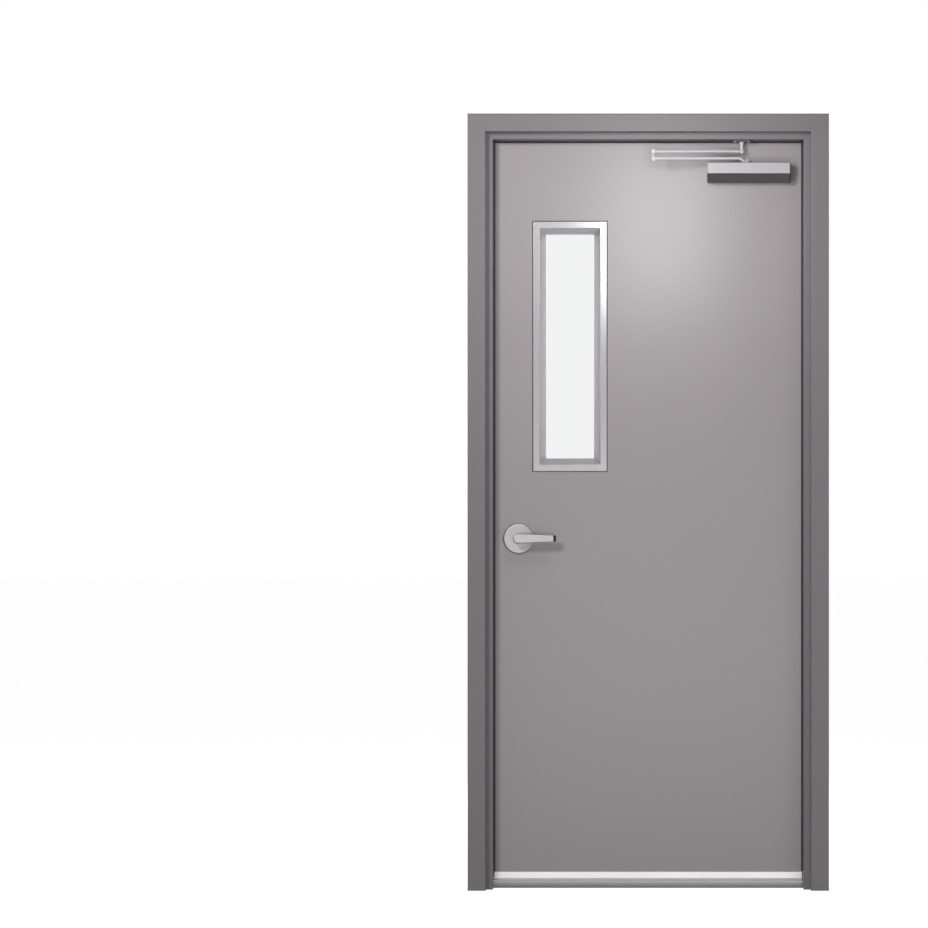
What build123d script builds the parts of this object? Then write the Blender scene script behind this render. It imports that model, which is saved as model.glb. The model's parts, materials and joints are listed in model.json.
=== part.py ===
from build123d import *
import os

# Axes: X across the doorway, +Y towards the pull side, +Z up, the floor at Z = 0.
# Y = 0 is the middle of the leaf's thickness. All sizes are in millimetres.

# Doorway
opening_width = 914.4
opening_height = 2133.6

# Pressed frame section
frame_depth = 146.05
face_width = 50.8
stop_width = 57.15
stop_height = 19.05
leaf_rabbet = 49.2
backbend = 12.7
frame_sheet = 1.6
frame_bend = 1.4

# Leaf
leaf_thickness = 44.5
edge_gap = 3.2
leaf_setback = 1.6
leaf_undercut = 29.0
edge_bevel = 2.8
skin_sheet = 1.2
skin_corner = 1.6
seam_gap = 0.5
channel_depth = 32.0
channel_sheet = 1.6

# Clearances
seat_gap = 0.3
fit_gap = 0.2
pin_gap = 0.06
running_gap = 0.5
split_gap = 0.4

# Butt hinges
hinge_height = 114.3
hinge_width = 101.6
hinge_sheet = 3.4
hinge_inset = 6.35
knuckle_radius = 7.0
knuckle_count = 5
knuckle_gap = 0.4
pin_radius = 3.2
top_hinge_drop = 127.0
bottom_hinge_rise = 254.0

# Vision panel
lite_drop = 242.6
lite_stile = 127.2
lite_width = 210.0
lite_height = 708.0
lip_width = 19.0
lip_proud = 3.2
lip_cover = 12.0
bevel_width = 17.5
bead_width = 1.5
lite_sheet = 1.2
lite_bend = 0.8
glass_thickness = 6.0
glass_cover = 9.0

# Lever lock
lock_backset = 86.6
lock_height = 989.5
lock_bore_radius = 27.0
rose_radius = 43.0
rose_thickness = 9.5
rose_bevel = 3.5
neck_radius = 11.5
lever_reach = 101.0
lever_root_height = 27.5
lever_tip_height = 19.4
lever_thickness = 14.0
lever_projection = 64.0
lever_bevel = 2.2
cap_length = 6.4
cap_height = 17.5
cap_thickness = 12.0
cap_bevel = 2.0
spindle_width = 8.0

# Latch and strike
faceplate_height = 57.2
faceplate_width = 28.6
faceplate_thickness = 2.4
latch_height = 22.0
latch_width = 12.7
strike_height = 123.8
strike_width = 31.75
strike_sheet = 2.4
strike_lip_height = 44.0
strike_lip_reach = 8.0
strike_lip_turn = 9.0
strike_lip_bend = 5.0
strike_hole_height = 28.0
strike_hole_width = 15.0
strike_box_height = 40.0
strike_box_width = 24.0
strike_box_depth = 20.0
strike_box_wall = 1.0
strike_flange_margin = 8.0

# Door closer
closer_edge_inset = 53.5
closer_length = 234.0
closer_drop = 63.85
closer_height = 54.7
closer_face_height = 30.8
closer_projection = 57.0
closer_undercut = 16.0
closer_round = 3.0
pinion_offset = 111.5
pinion_depth = 25.75
pinion_radius = 8.0
pinion_bore = 14.0
pinion_tip_width = 8.0
pinion_tip_rise = 4.0

# Closer arms
main_arm_rise = 12.7
main_arm_sheet = 6.0
main_arm_hub_radius = 10.5
joggle_drop = 9.4
joggle_start = 12.0
joggle_run = 13.0
joggle_bend = 4.0
forearm_rise = 19.4
forearm_reach = 249.3
forearm_sheet = 5.5
elbow_projection = 117.75
elbow_radius = 7.0
elbow_boss = 9.0
elbow_pin_radius = 2.6
elbow_pin_end = 2.7
shoe_offset = 14.3
shoe_inset = 28.5
shoe_width = 54.0
shoe_depth = 46.0
shoe_sheet = 4.5
shoe_corner = 4.0
post_radius = 3.8
post_collar_radius = 6.2
post_collar_height = 5.0
post_pin_end = 2.0

# Bottom of the doorway
sill_height = 25.4
sill_round = 19.0
sill_back_round = 4.0
sweep_height = 19.0
sweep_proud = 6.0
sweep_round = 1.5
sweep_side_gap = 3.0
sweep_lift = 1.8
sweep_lip_width = 3.2
sweep_lip_gap = 0.4

# Perimeter seal
seal_reach = 5.5
seal_width = 17.0
seal_lift = 1.4

# Frame fixings
anchor_sheet = 2.5
anchor_rise = 34.0
anchor_reach = 42.0
anchor_side_gap = 2.0
anchor_hole_radius = 5.0
anchor_hole_spacing = 63.5
hinge_plate_sheet = 4.5
hinge_plate_extra = 32.0
hinge_plate_side_gap = 2.0
closer_plate_sheet = 3.4
closer_plate_length = 320.0

# Positions worked out from the sizes above
half_opening = opening_width / 2
frame_half_width = half_opening + face_width
frame_top = opening_height + face_width
leaf_face = leaf_thickness / 2
frame_pull = leaf_face + leaf_setback
frame_push = frame_pull - frame_depth
stop_back = frame_pull - leaf_rabbet
stop_front = stop_back - stop_width
soffit_height = opening_height - stop_height
stop_half_width = half_opening - stop_height
leaf_half_width = half_opening - edge_gap
leaf_top = opening_height - edge_gap
leaf_height = leaf_top - leaf_undercut
hinge_x = half_opening - edge_gap / 2
hinge_plate_back = hinge_inset - leaf_face
hinge_y = hinge_plate_back + hinge_width / 2
knuckle_height = hinge_height / knuckle_count
hinge_levels = {
    "bottom": bottom_hinge_rise + hinge_height / 2,
    "middle": (bottom_hinge_rise + opening_height - top_hinge_drop) / 2,
    "top": opening_height - top_hinge_drop - hinge_height / 2,
}
lite_x = lite_stile + lite_width / 2 - leaf_half_width
lite_z = leaf_top - lite_drop - lite_height / 2
lock_x = lock_backset - leaf_half_width
latch_bore_radius = Vector(latch_height, latch_width).length / 2 + seat_gap
spindle_bore_radius = Vector(spindle_width, spindle_width).length / 2 + seat_gap
closer_x = leaf_half_width - closer_edge_inset - closer_length
closer_top = soffit_height - closer_drop
pinion_x = closer_x + pinion_offset
pinion_y = -leaf_face - pinion_depth
main_arm_height = closer_top + main_arm_rise
forearm_height = main_arm_height + forearm_rise
shoe_x = pinion_x - shoe_offset
shoe_y = stop_front + shoe_inset
elbow_x = shoe_x - forearm_reach
elbow_y = -leaf_face - elbow_projection
sweep_bottom = sill_height + sweep_lift
sweep_top = sweep_bottom + sweep_height
seal_bottom = sweep_top + seal_lift

push_face = Plane.XZ.offset(leaf_face)
lock_edge = Plane(
    origin=(edge_bevel / 2 - leaf_half_width, 0, lock_height),
    x_dir=(0, 0, 1),
    z_dir=(-leaf_thickness, -edge_bevel, 0),
)

os.makedirs("parts", exist_ok=True)


# Pressed frame section
def frame_section(plane):
    """Closed outline of the sheet, X outwards from the doorway edge and Y through the wall."""
    corners = [
        (face_width, frame_pull - backbend),
        (face_width, frame_pull),
        (0, frame_pull),
        (0, stop_back),
        (-stop_height, stop_back),
        (-stop_height, stop_front),
        (0, stop_front),
        (0, frame_push),
        (face_width, frame_push),
        (face_width, frame_push + backbend),
    ]
    outside = frame_bend + frame_sheet
    radii = [outside, outside, frame_bend, outside, outside, frame_bend, outside, outside]
    with BuildSketch(plane) as section:
        with BuildLine():
            FilletPolyline(*corners, radius=radii)
            offset(amount=frame_sheet, side=Side.LEFT)
        make_face()
    return section.sketch


# Space for one hinge plate, in the jamb (side 1) or in the leaf's edge (side -1)
def hinge_pocket(level, side):
    edge_x = half_opening if side > 0 else leaf_half_width
    depth = hinge_sheet + fit_gap
    back = hinge_plate_back - fit_gap
    with BuildPart() as pocket:
        with Locations((edge_x, back, level)):
            Box(2 * depth, hinge_y - back, hinge_height + 2 * fit_gap,
                align=(Align.CENTER, Align.MIN, Align.CENTER))
    return pocket.part


# Hinge jamb
jamb_plane = Plane(origin=(half_opening, 0, 0), x_dir=(1, 0, 0), z_dir=(0, 0, 1))
hinge_mitre = Plane(origin=(half_opening, 0, opening_height), x_dir=(0, 1, 0), z_dir=(-1, 0, 1))
strike_mitre = Plane(origin=(-half_opening, 0, opening_height), x_dir=(0, 1, 0), z_dir=(1, 0, 1))

with BuildPart() as plain_jamb:
    extrude(frame_section(jamb_plane), amount=frame_top)
    split(bisect_by=hinge_mitre, keep=Keep.BOTTOM)

with BuildPart() as hinge_jamb:
    add(plain_jamb.part)
    for level in hinge_levels.values():
        add(hinge_pocket(level, 1), mode=Mode.SUBTRACT)
hinge_jamb.part.label = "hinge_jamb"
export_step(hinge_jamb.part, "parts/hinge_jamb.step")

# Strike jamb, cut through for the strike plate and its lip
strike_cut_depth = strike_sheet + fit_gap
with BuildPart() as strike_jamb:
    add(mirror(plain_jamb.part, about=Plane.YZ))
    with Locations((-half_opening, 0, lock_height)):
        Box(2 * strike_cut_depth, strike_width + 2 * fit_gap, strike_height + 2 * fit_gap,
            mode=Mode.SUBTRACT)
        Box(2 * strike_cut_depth, frame_pull + strike_lip_reach, strike_lip_height + 2 * fit_gap,
            align=(Align.CENTER, Align.MIN, Align.CENTER), mode=Mode.SUBTRACT)
strike_jamb.part.label = "strike_jamb"
export_step(strike_jamb.part, "parts/strike_jamb.step")

# Frame head
head_plane = Plane(origin=(0, 0, opening_height), x_dir=(0, 0, 1), z_dir=(-1, 0, 0))
with BuildPart() as frame_head:
    extrude(frame_section(head_plane), amount=frame_half_width, both=True)
    split(bisect_by=hinge_mitre, keep=Keep.TOP)
    split(bisect_by=strike_mitre, keep=Keep.TOP)
frame_head.part.label = "frame_head"
export_step(frame_head.part, "parts/frame_head.step")

# Perimeter seal on the back of the stops
seal_depth = -leaf_face - seat_gap - stop_back
seal_inner = stop_half_width - seal_reach
seal_plane = Plane.XZ.offset(-stop_back)
head_seal_bottom = soffit_height - seal_reach

with BuildPart() as hinge_jamb_seal:
    with BuildSketch(seal_plane):
        with Locations((seal_inner, seal_bottom)):
            Rectangle(seal_width, head_seal_bottom - seal_bottom, align=(Align.MIN, Align.MIN))
    extrude(amount=-seal_depth)
hinge_jamb_seal.part.label = "hinge_jamb_seal"
export_step(hinge_jamb_seal.part, "parts/hinge_jamb_seal.step")

with BuildPart() as strike_jamb_seal:
    add(mirror(hinge_jamb_seal.part, about=Plane.YZ))
strike_jamb_seal.part.label = "strike_jamb_seal"
export_step(strike_jamb_seal.part, "parts/strike_jamb_seal.step")

with BuildPart() as head_seal:
    with BuildSketch(seal_plane):
        with Locations((0, head_seal_bottom)):
            Rectangle(2 * (seal_inner + seal_width), seal_width, align=(Align.CENTER, Align.MIN))
    extrude(amount=-seal_depth)
head_seal.part.label = "head_seal"
export_step(head_seal.part, "parts/head_seal.step")

# Sill bar with a rounded nose, clear of the bend between rabbet and stop
sill_front = stop_back + frame_bend
with BuildPart() as threshold:
    with BuildSketch(Plane.YZ):
        with BuildLine():
            FilletPolyline(
                (sill_front, 0),
                (sill_front, sill_height),
                (leaf_face, sill_height),
                (leaf_face, 0),
                radius=[sill_round, sill_back_round],
            )
            Line((leaf_face, 0), (sill_front, 0))
        make_face()
    extrude(amount=half_opening - seat_gap, both=True)
threshold.part.label = "threshold"
export_step(threshold.part, "parts/threshold.step")


# Welded foot inside one jamb, with the two floor bolt holes
def floor_anchor(side):
    inner = half_opening + frame_sheet
    length = frame_depth - 2 * (frame_sheet + anchor_side_gap)
    middle = (frame_pull + frame_push) / 2
    with BuildPart() as foot:
        with BuildSketch(Plane.XZ.offset(-middle)):
            with Locations((inner, 0)):
                Rectangle(anchor_reach, anchor_sheet, align=(Align.MIN, Align.MIN))
                Rectangle(anchor_sheet, anchor_rise, align=(Align.MIN, Align.MIN))
        extrude(amount=length / 2, both=True)
        with Locations((inner + (anchor_reach + anchor_sheet) / 2, middle, anchor_sheet)):
            with GridLocations(0, anchor_hole_spacing, 1, 2):
                Hole(anchor_hole_radius)
        if side < 0:
            mirror(about=Plane.YZ, mode=Mode.REPLACE)
    return foot.part


with BuildPart() as floor_anchors:
    add(floor_anchor(1))
    add(floor_anchor(-1))
floor_anchors.part.label = "floor_anchors"
export_step(floor_anchors.part, "parts/floor_anchors.step")

# Plates welded inside the hinge jamb behind each hinge
plate_back = stop_back + hinge_plate_side_gap
plate_front = frame_pull - frame_sheet - hinge_plate_side_gap
with BuildPart() as hinge_reinforcements:
    for level in hinge_levels.values():
        with Locations((half_opening + frame_sheet, plate_back, level)):
            Box(hinge_sheet - frame_sheet + hinge_plate_sheet, plate_front - plate_back,
                hinge_height + 2 * hinge_plate_extra, align=(Align.MIN, Align.MIN, Align.CENTER))
        add(hinge_pocket(level, 1), mode=Mode.SUBTRACT)
hinge_reinforcements.part.label = "hinge_reinforcements"
export_step(hinge_reinforcements.part, "parts/hinge_reinforcements.step")

# Plate welded on the soffit inside the head, above the closer's shoe
with BuildPart() as closer_reinforcement:
    with Locations((shoe_x, (stop_back + stop_front) / 2, soffit_height + frame_sheet)):
        Box(closer_plate_length, stop_width - 2 * (frame_sheet + frame_bend), closer_plate_sheet,
            align=(Align.CENTER, Align.CENTER, Align.MIN))
closer_reinforcement.part.label = "closer_reinforcement"
export_step(closer_reinforcement.part, "parts/closer_reinforcement.step")

# Strike plate with its curved lip
lip_y = frame_pull + strike_lip_reach
with BuildPart() as strike_plate:
    with Locations((-half_opening, 0, lock_height)):
        Box(strike_sheet, strike_width, strike_height, align=(Align.MAX, Align.CENTER, Align.CENTER))
    with BuildSketch(Plane.XY.offset(lock_height)):
        with BuildLine():
            FilletPolyline(
                (-half_opening, 0), (-half_opening, lip_y), (-half_opening - strike_lip_turn, lip_y),
                radius=strike_lip_bend + strike_sheet,
            )
            offset(amount=strike_sheet, side=Side.LEFT)
        make_face()
    extrude(amount=strike_lip_height / 2, both=True)
    with Locations((-half_opening, 0, lock_height)):
        Box(4 * strike_sheet, strike_hole_width, strike_hole_height, mode=Mode.SUBTRACT)
strike_plate.part.label = "strike_plate"
export_step(strike_plate.part, "parts/strike_plate.step")

# Dust box behind the strike plate
with BuildPart() as strike_box:
    with Locations((-half_opening - strike_sheet, 0, lock_height)):
        Box(strike_box_wall, strike_width, strike_height - 2 * strike_flange_margin,
            align=(Align.MAX, Align.CENTER, Align.CENTER))
        Box(strike_box_depth, strike_box_width, strike_box_height,
            align=(Align.MAX, Align.CENTER, Align.CENTER))
        Box(strike_box_depth - strike_box_wall, strike_box_width - 2 * strike_box_wall,
            strike_box_height - 2 * strike_box_wall,
            align=(Align.MAX, Align.CENTER, Align.CENTER), mode=Mode.SUBTRACT)
strike_box.part.label = "strike_box"
export_step(strike_box.part, "parts/strike_box.step")


# One half of a butt hinge: side 1 sits in the jamb with the outer knuckles and the pin
def hinge_half(level, side):
    plate_x = half_opening if side > 0 else leaf_half_width - hinge_sheet
    notch = 2 * (knuckle_radius + knuckle_gap)
    with BuildPart() as half:
        with Locations((plate_x, hinge_plate_back, level)):
            Box(hinge_sheet, hinge_y - hinge_plate_back, hinge_height,
                align=(Align.MIN, Align.MIN, Align.CENTER))
        for index in range(knuckle_count):
            knuckle_level = level + (index - (knuckle_count - 1) / 2) * knuckle_height
            owned = (index % 2 == 0) == (side > 0)
            with Locations((hinge_x, hinge_y, knuckle_level)):
                if owned:
                    Cylinder(knuckle_radius, knuckle_height - knuckle_gap)
                else:
                    Box(notch, notch, knuckle_height + knuckle_gap, mode=Mode.SUBTRACT)
        with Locations((hinge_x, hinge_y, level)):
            if side > 0:
                Cylinder(pin_radius, hinge_height - knuckle_gap)
            else:
                Cylinder(pin_radius + pin_gap, hinge_height, mode=Mode.SUBTRACT)
    return half.part


for name, level in hinge_levels.items():
    frame_half = hinge_half(level, 1)
    frame_half.label = f"{name}_hinge_frame_leaf"
    export_step(frame_half, f"parts/{name}_hinge_frame_leaf.step")
    door_half = hinge_half(level, -1)
    door_half.label = f"{name}_hinge_door_leaf"
    export_step(door_half, f"parts/{name}_hinge_door_leaf.step")


# Plan of the leaf with its bevelled lock edge, drawn inwards by an inset
def leaf_outline(inset, corner):
    hinge_side = leaf_half_width - inset
    lock_side = -leaf_half_width + inset
    face = leaf_face - inset
    bevel = edge_bevel * face / leaf_face
    middle = lock_side + (edge_bevel - bevel) / 2
    with BuildSketch(Plane.XY.offset(leaf_undercut)) as outline:
        with BuildLine():
            FilletPolyline(
                (hinge_side, face), (middle, face), (middle + bevel, -face), (hinge_side, -face),
                radius=corner, close=True,
            )
        make_face()
    return outline.sketch


# Everything that is cut out of the leaf
leaf_edge_to_lock = lock_backset - edge_bevel / 2
with BuildPart() as leaf_cuts:
    with BuildSketch(Plane.XZ):
        with Locations((lite_x, lite_z)):
            Rectangle(lite_width - 2 * lip_cover, lite_height - 2 * lip_cover)
        with Locations((lock_x, lock_height)):
            Circle(lock_bore_radius)
    extrude(amount=leaf_thickness, both=True)
    for level in hinge_levels.values():
        add(hinge_pocket(level, -1))
    with BuildSketch(lock_edge):
        Rectangle(faceplate_height + 2 * fit_gap, faceplate_width + 2 * fit_gap)
    extrude(amount=faceplate_thickness, both=True)
    with BuildSketch(lock_edge):
        Circle(latch_bore_radius)
    extrude(amount=-leaf_edge_to_lock)

# Face sheets, folded round the edges and meeting in a seam at mid-thickness
with BuildPart() as leaf_shell:
    extrude(leaf_outline(0, skin_corner), amount=leaf_height)
    extrude(leaf_outline(skin_sheet, skin_corner - skin_sheet), amount=leaf_height, mode=Mode.SUBTRACT)
    add(leaf_cuts.part, mode=Mode.SUBTRACT)

with BuildPart() as push_skin:
    add(leaf_shell.part)
    split(bisect_by=Plane.XZ.offset(seam_gap / 2), keep=Keep.TOP)
push_skin.part.label = "push_skin"
export_step(push_skin.part, "parts/push_skin.step")

with BuildPart() as pull_skin:
    add(leaf_shell.part)
    split(bisect_by=Plane.XZ.offset(-seam_gap / 2), keep=Keep.BOTTOM)
pull_skin.part.label = "pull_skin"
export_step(pull_skin.part, "parts/pull_skin.step")


# Channel that closes the top or bottom of the leaf, open outwards
def end_channel(level, side):
    half = leaf_face - skin_sheet
    hinge_end = leaf_half_width - skin_sheet - skin_corner
    lock_end = edge_bevel - leaf_half_width + skin_sheet + skin_corner
    with BuildPart() as channel:
        with BuildSketch(Plane.YZ.offset(lock_end)):
            with BuildLine():
                FilletPolyline(
                    (-half, level), (-half, level - side * channel_depth),
                    (half, level - side * channel_depth), (half, level),
                    radius=channel_sheet + skin_corner,
                )
                offset(amount=channel_sheet, side=Side.LEFT if side > 0 else Side.RIGHT)
            make_face()
        extrude(amount=hinge_end - lock_end)
    return channel.part


top_channel = end_channel(leaf_top, 1)
top_channel.label = "top_channel"
export_step(top_channel, "parts/top_channel.step")
bottom_channel = end_channel(leaf_undercut, -1)
bottom_channel.label = "bottom_channel"
export_step(bottom_channel, "parts/bottom_channel.step")

# Core between the two face sheets
with BuildPart() as door_core:
    core_plan = leaf_outline(skin_sheet + seat_gap, skin_corner)
    extrude(core_plan, amount=leaf_height - channel_depth)
    with Locations((0, 0, leaf_undercut)):
        Box(opening_width, frame_depth, channel_depth, align=(Align.CENTER, Align.CENTER, Align.MIN),
            mode=Mode.SUBTRACT)
    add(leaf_cuts.part, mode=Mode.SUBTRACT)
door_core.part.label = "door_core"
export_step(door_core.part, "parts/door_core.step")

# Vision panel frame, a bent sheet run round a rectangle with mitred corners
glass_depth = leaf_face - glass_thickness / 2
with BuildPart() as lite_frame_push:
    half_w = lite_width / 2
    half_h = lite_height / 2
    with BuildLine(push_face) as lite_path:
        Polyline(
            (lite_x, lite_z - half_h),
            (lite_x + half_w, lite_z - half_h),
            (lite_x + half_w, lite_z + half_h),
            (lite_x - half_w, lite_z + half_h),
            (lite_x - half_w, lite_z - half_h),
            close=True,
        )
    section_plane = Plane(
        origin=(lite_x, -leaf_face, lite_z - half_h), x_dir=(0, 0, 1), z_dir=(1, 0, 0)
    )
    with BuildSketch(section_plane):
        with BuildLine():
            FilletPolyline(
                (0, 0),
                (0, lip_proud),
                (lip_width, lip_proud),
                (lip_width + bevel_width, lite_sheet - glass_depth),
                (lip_width + bevel_width + bead_width, lite_sheet - glass_depth),
                radius=[lite_bend + lite_sheet, lite_bend + lite_sheet, lite_bend],
            )
            offset(amount=lite_sheet, side=Side.RIGHT)
        make_face()
    sweep(path=lite_path.wires()[0], transition=Transition.RIGHT)
lite_frame_push.part.label = "lite_frame_push"
export_step(lite_frame_push.part, "parts/lite_frame_push.step")

with BuildPart() as lite_frame_pull:
    add(mirror(lite_frame_push.part, about=Plane.XZ))
lite_frame_pull.part.label = "lite_frame_pull"
export_step(lite_frame_pull.part, "parts/lite_frame_pull.step")

sight_inset = lip_width + bevel_width + bead_width - glass_cover
with BuildPart() as lite_glass:
    with BuildSketch(Plane.XZ):
        with Locations((lite_x, lite_z)):
            Rectangle(lite_width - 2 * sight_inset, lite_height - 2 * sight_inset)
    extrude(amount=glass_thickness / 2, both=True)
lite_glass.part.label = "lite_glass"
export_step(lite_glass.part, "parts/lite_glass.step")

# Lock roses, a bevelled disc on each face
with BuildPart() as push_rose:
    with BuildSketch(push_face):
        with Locations((lock_x, lock_height)):
            Circle(rose_radius)
    extrude(amount=rose_thickness)
    chamfer(push_rose.edges().sort_by(Axis.Y)[0], rose_bevel)
    with BuildSketch(push_face):
        with Locations((lock_x, lock_height)):
            Circle(neck_radius + running_gap)
    extrude(amount=rose_thickness, mode=Mode.SUBTRACT)
push_rose.part.label = "push_rose"
export_step(push_rose.part, "parts/push_rose.step")

with BuildPart() as pull_rose:
    add(mirror(push_rose.part, about=Plane.XZ))
pull_rose.part.label = "pull_rose"
export_step(pull_rose.part, "parts/pull_rose.step")

# Lock case in the cross bore
with BuildPart() as lock_chassis:
    with BuildSketch(Plane.XZ):
        with Locations((lock_x, lock_height)):
            Circle(lock_bore_radius - seat_gap)
            Circle(spindle_bore_radius, mode=Mode.SUBTRACT)
    extrude(amount=leaf_face, both=True)
lock_chassis.part.label = "lock_chassis"
export_step(lock_chassis.part, "parts/lock_chassis.step")

# Latch faceplate and bolt, set square to the bevelled lock edge
with BuildPart() as lock_faceplate:
    with BuildSketch(lock_edge):
        Rectangle(faceplate_height, faceplate_width)
        Rectangle(latch_height + 2 * fit_gap, latch_width + 2 * fit_gap, mode=Mode.SUBTRACT)
    extrude(amount=-faceplate_thickness)
lock_faceplate.part.label = "lock_faceplate"
export_step(lock_faceplate.part, "parts/lock_faceplate.step")

with BuildPart() as latch_bolt:
    with BuildSketch(lock_edge):
        Rectangle(latch_height, latch_width)
    extrude(amount=seat_gap + lock_bore_radius - leaf_edge_to_lock)
latch_bolt.part.label = "latch_bolt"
export_step(latch_bolt.part, "parts/latch_bolt.step")

# Levers, their end caps and the spindle that joins them
lever_back = Plane.XZ.offset(leaf_face + lever_projection - lever_thickness)
with BuildPart() as push_lever:
    with BuildSketch(lever_back) as lever_plan:
        with Locations((lock_x, lock_height)):
            Circle(lever_root_height / 2)
        with Locations((lock_x + lever_reach, lock_height)):
            Rectangle(lever_bevel, lever_tip_height, align=(Align.MAX, Align.CENTER))
        make_hull(lever_plan.edges(), mode=Mode.REPLACE)
    extrude(amount=lever_thickness)
    chamfer(push_lever.edges().group_by(Axis.Y)[0], lever_bevel)
    chamfer(push_lever.edges().group_by(Axis.Y)[-1], lever_bevel)
    with BuildSketch(Plane.XZ.offset(leaf_face + running_gap)):
        with Locations((lock_x, lock_height)):
            Circle(neck_radius)
    extrude(amount=lever_projection - lever_thickness)
push_lever.part.label = "push_lever"
export_step(push_lever.part, "parts/push_lever.step")

with BuildPart() as push_lever_cap:
    with BuildSketch(Plane.YZ.offset(lock_x + lever_reach)) as cap_outline:
        with Locations((lever_thickness / 2 - leaf_face - lever_projection, lock_height)):
            Rectangle(cap_thickness, cap_height)
        chamfer(cap_outline.vertices(), cap_bevel)
    extrude(amount=cap_length)
push_lever_cap.part.label = "push_lever_cap"
export_step(push_lever_cap.part, "parts/push_lever_cap.step")

with BuildPart() as pull_lever:
    add(mirror(push_lever.part, about=Plane.XZ))
pull_lever.part.label = "pull_lever"
export_step(pull_lever.part, "parts/pull_lever.step")

with BuildPart() as pull_lever_cap:
    add(mirror(push_lever_cap.part, about=Plane.XZ))
pull_lever_cap.part.label = "pull_lever_cap"
export_step(pull_lever_cap.part, "parts/pull_lever_cap.step")

with BuildPart() as lever_spindle:
    with BuildSketch(Plane.XZ):
        with Locations((lock_x, lock_height)):
            Rectangle(spindle_width, spindle_width)
    extrude(amount=leaf_face + running_gap, both=True)
lever_spindle.part.label = "lever_spindle"
export_step(lever_spindle.part, "parts/lever_spindle.step")

# Closer body
closer_front = -leaf_face - closer_projection
with BuildPart() as closer_body:
    with BuildSketch(Plane.YZ.offset(closer_x)):
        with BuildLine():
            Polyline(
                (-leaf_face, closer_top),
                (closer_front, closer_top),
                (closer_front, closer_top - closer_face_height),
                (closer_front + closer_undercut, closer_top - closer_height),
                (-leaf_face, closer_top - closer_height),
                close=True,
            )
        make_face()
    extrude(amount=closer_length)
    fillet(closer_body.edges().filter_by(lambda edge: edge.center().Y < -leaf_face - closer_round),
           closer_round)
    with Locations(Plane((pinion_x, pinion_y, closer_top))):
        Hole(pinion_radius + seat_gap, depth=pinion_bore)
closer_body.part.label = "closer_body"
export_step(closer_body.part, "parts/closer_body.step")

# Lines of the two closer arms in plan, at the underside of the main arm's hub
main_arm_hub_bottom = main_arm_height - joggle_drop - main_arm_sheet / 2
pinion_point = Vector(pinion_x, pinion_y, main_arm_hub_bottom)
shoe_point = Vector(shoe_x, shoe_y, main_arm_hub_bottom)
elbow_point = Vector(elbow_x, elbow_y, main_arm_hub_bottom)
main_arm_line = elbow_point - pinion_point
forearm_line = elbow_point - shoe_point
main_arm_plan = Plane(origin=pinion_point, x_dir=main_arm_line, z_dir=(0, 0, 1))
main_arm_side = Plane(origin=pinion_point, x_dir=main_arm_line,
                      z_dir=main_arm_line.cross(Vector(0, 0, 1)))
forearm_plan = Plane(origin=shoe_point, x_dir=forearm_line, z_dir=(0, 0, 1))
elbow_split = forearm_height - elbow_boss / 2 - split_gap

# Closer pinion with a square tip for the main arm
with BuildPart() as closer_spindle:
    with Locations((pinion_x, pinion_y, main_arm_hub_bottom)):
        Cylinder(pinion_radius, main_arm_hub_bottom - closer_top + pinion_bore - seat_gap,
                 align=(Align.CENTER, Align.CENTER, Align.MAX))
    with BuildSketch(main_arm_plan):
        Rectangle(pinion_tip_width, pinion_tip_width)
    extrude(amount=main_arm_sheet + pinion_tip_rise)
closer_spindle.part.label = "closer_spindle"
export_step(closer_spindle.part, "parts/closer_spindle.step")

# Main arm, bent down to its hub on the pinion
with BuildPart() as main_arm:
    with BuildSketch(main_arm_side):
        with BuildLine():
            FilletPolyline(
                (-main_arm_hub_radius, 0),
                (joggle_start, 0),
                (joggle_start + joggle_run, joggle_drop),
                (main_arm_line.length + elbow_radius, joggle_drop),
                radius=joggle_bend,
            )
            offset(amount=main_arm_sheet, side=Side.LEFT)
        make_face()
    extrude(amount=main_arm_hub_radius, both=True)
    with BuildSketch(main_arm_plan) as arm_outline:
        Circle(main_arm_hub_radius)
        with Locations((main_arm_line.length, 0)):
            Circle(elbow_radius)
        make_hull(arm_outline.edges(), mode=Mode.REPLACE)
    extrude(amount=joggle_drop + main_arm_sheet, mode=Mode.INTERSECT)
    with BuildSketch(main_arm_plan):
        Rectangle(pinion_tip_width + 2 * fit_gap, pinion_tip_width + 2 * fit_gap)
    extrude(amount=joggle_drop + main_arm_sheet, mode=Mode.SUBTRACT)
    with Locations((elbow_x, elbow_y, main_arm_height)):
        Cylinder(elbow_radius, elbow_boss)
    with Locations((elbow_x, elbow_y, elbow_split)):
        Cylinder(elbow_pin_radius, elbow_split - main_arm_height + elbow_boss / 2 + elbow_pin_end,
                 align=(Align.CENTER, Align.CENTER, Align.MAX))
main_arm.part.label = "main_arm"
export_step(main_arm.part, "parts/main_arm.step")

# Forearm from the elbow to the shoe
with BuildPart() as forearm:
    with BuildSketch(forearm_plan.offset(forearm_height - main_arm_hub_bottom)):
        with Locations((forearm_line.length / 2, 0)):
            SlotCenterToCenter(forearm_line.length, 2 * elbow_radius)
    extrude(amount=forearm_sheet / 2, both=True)
    with Locations((elbow_x, elbow_y, forearm_height), (shoe_x, shoe_y, forearm_height)):
        Cylinder(elbow_radius, elbow_boss)
    with Locations((elbow_x, elbow_y, forearm_height)):
        Cylinder(elbow_pin_radius, elbow_boss / 2 + elbow_pin_end,
                 align=(Align.CENTER, Align.CENTER, Align.MIN))
    with Locations((shoe_x, shoe_y, forearm_height)):
        Cylinder(elbow_pin_radius + pin_gap, 2 * elbow_boss, mode=Mode.SUBTRACT)
forearm.part.label = "forearm"
export_step(forearm.part, "parts/forearm.step")

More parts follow.
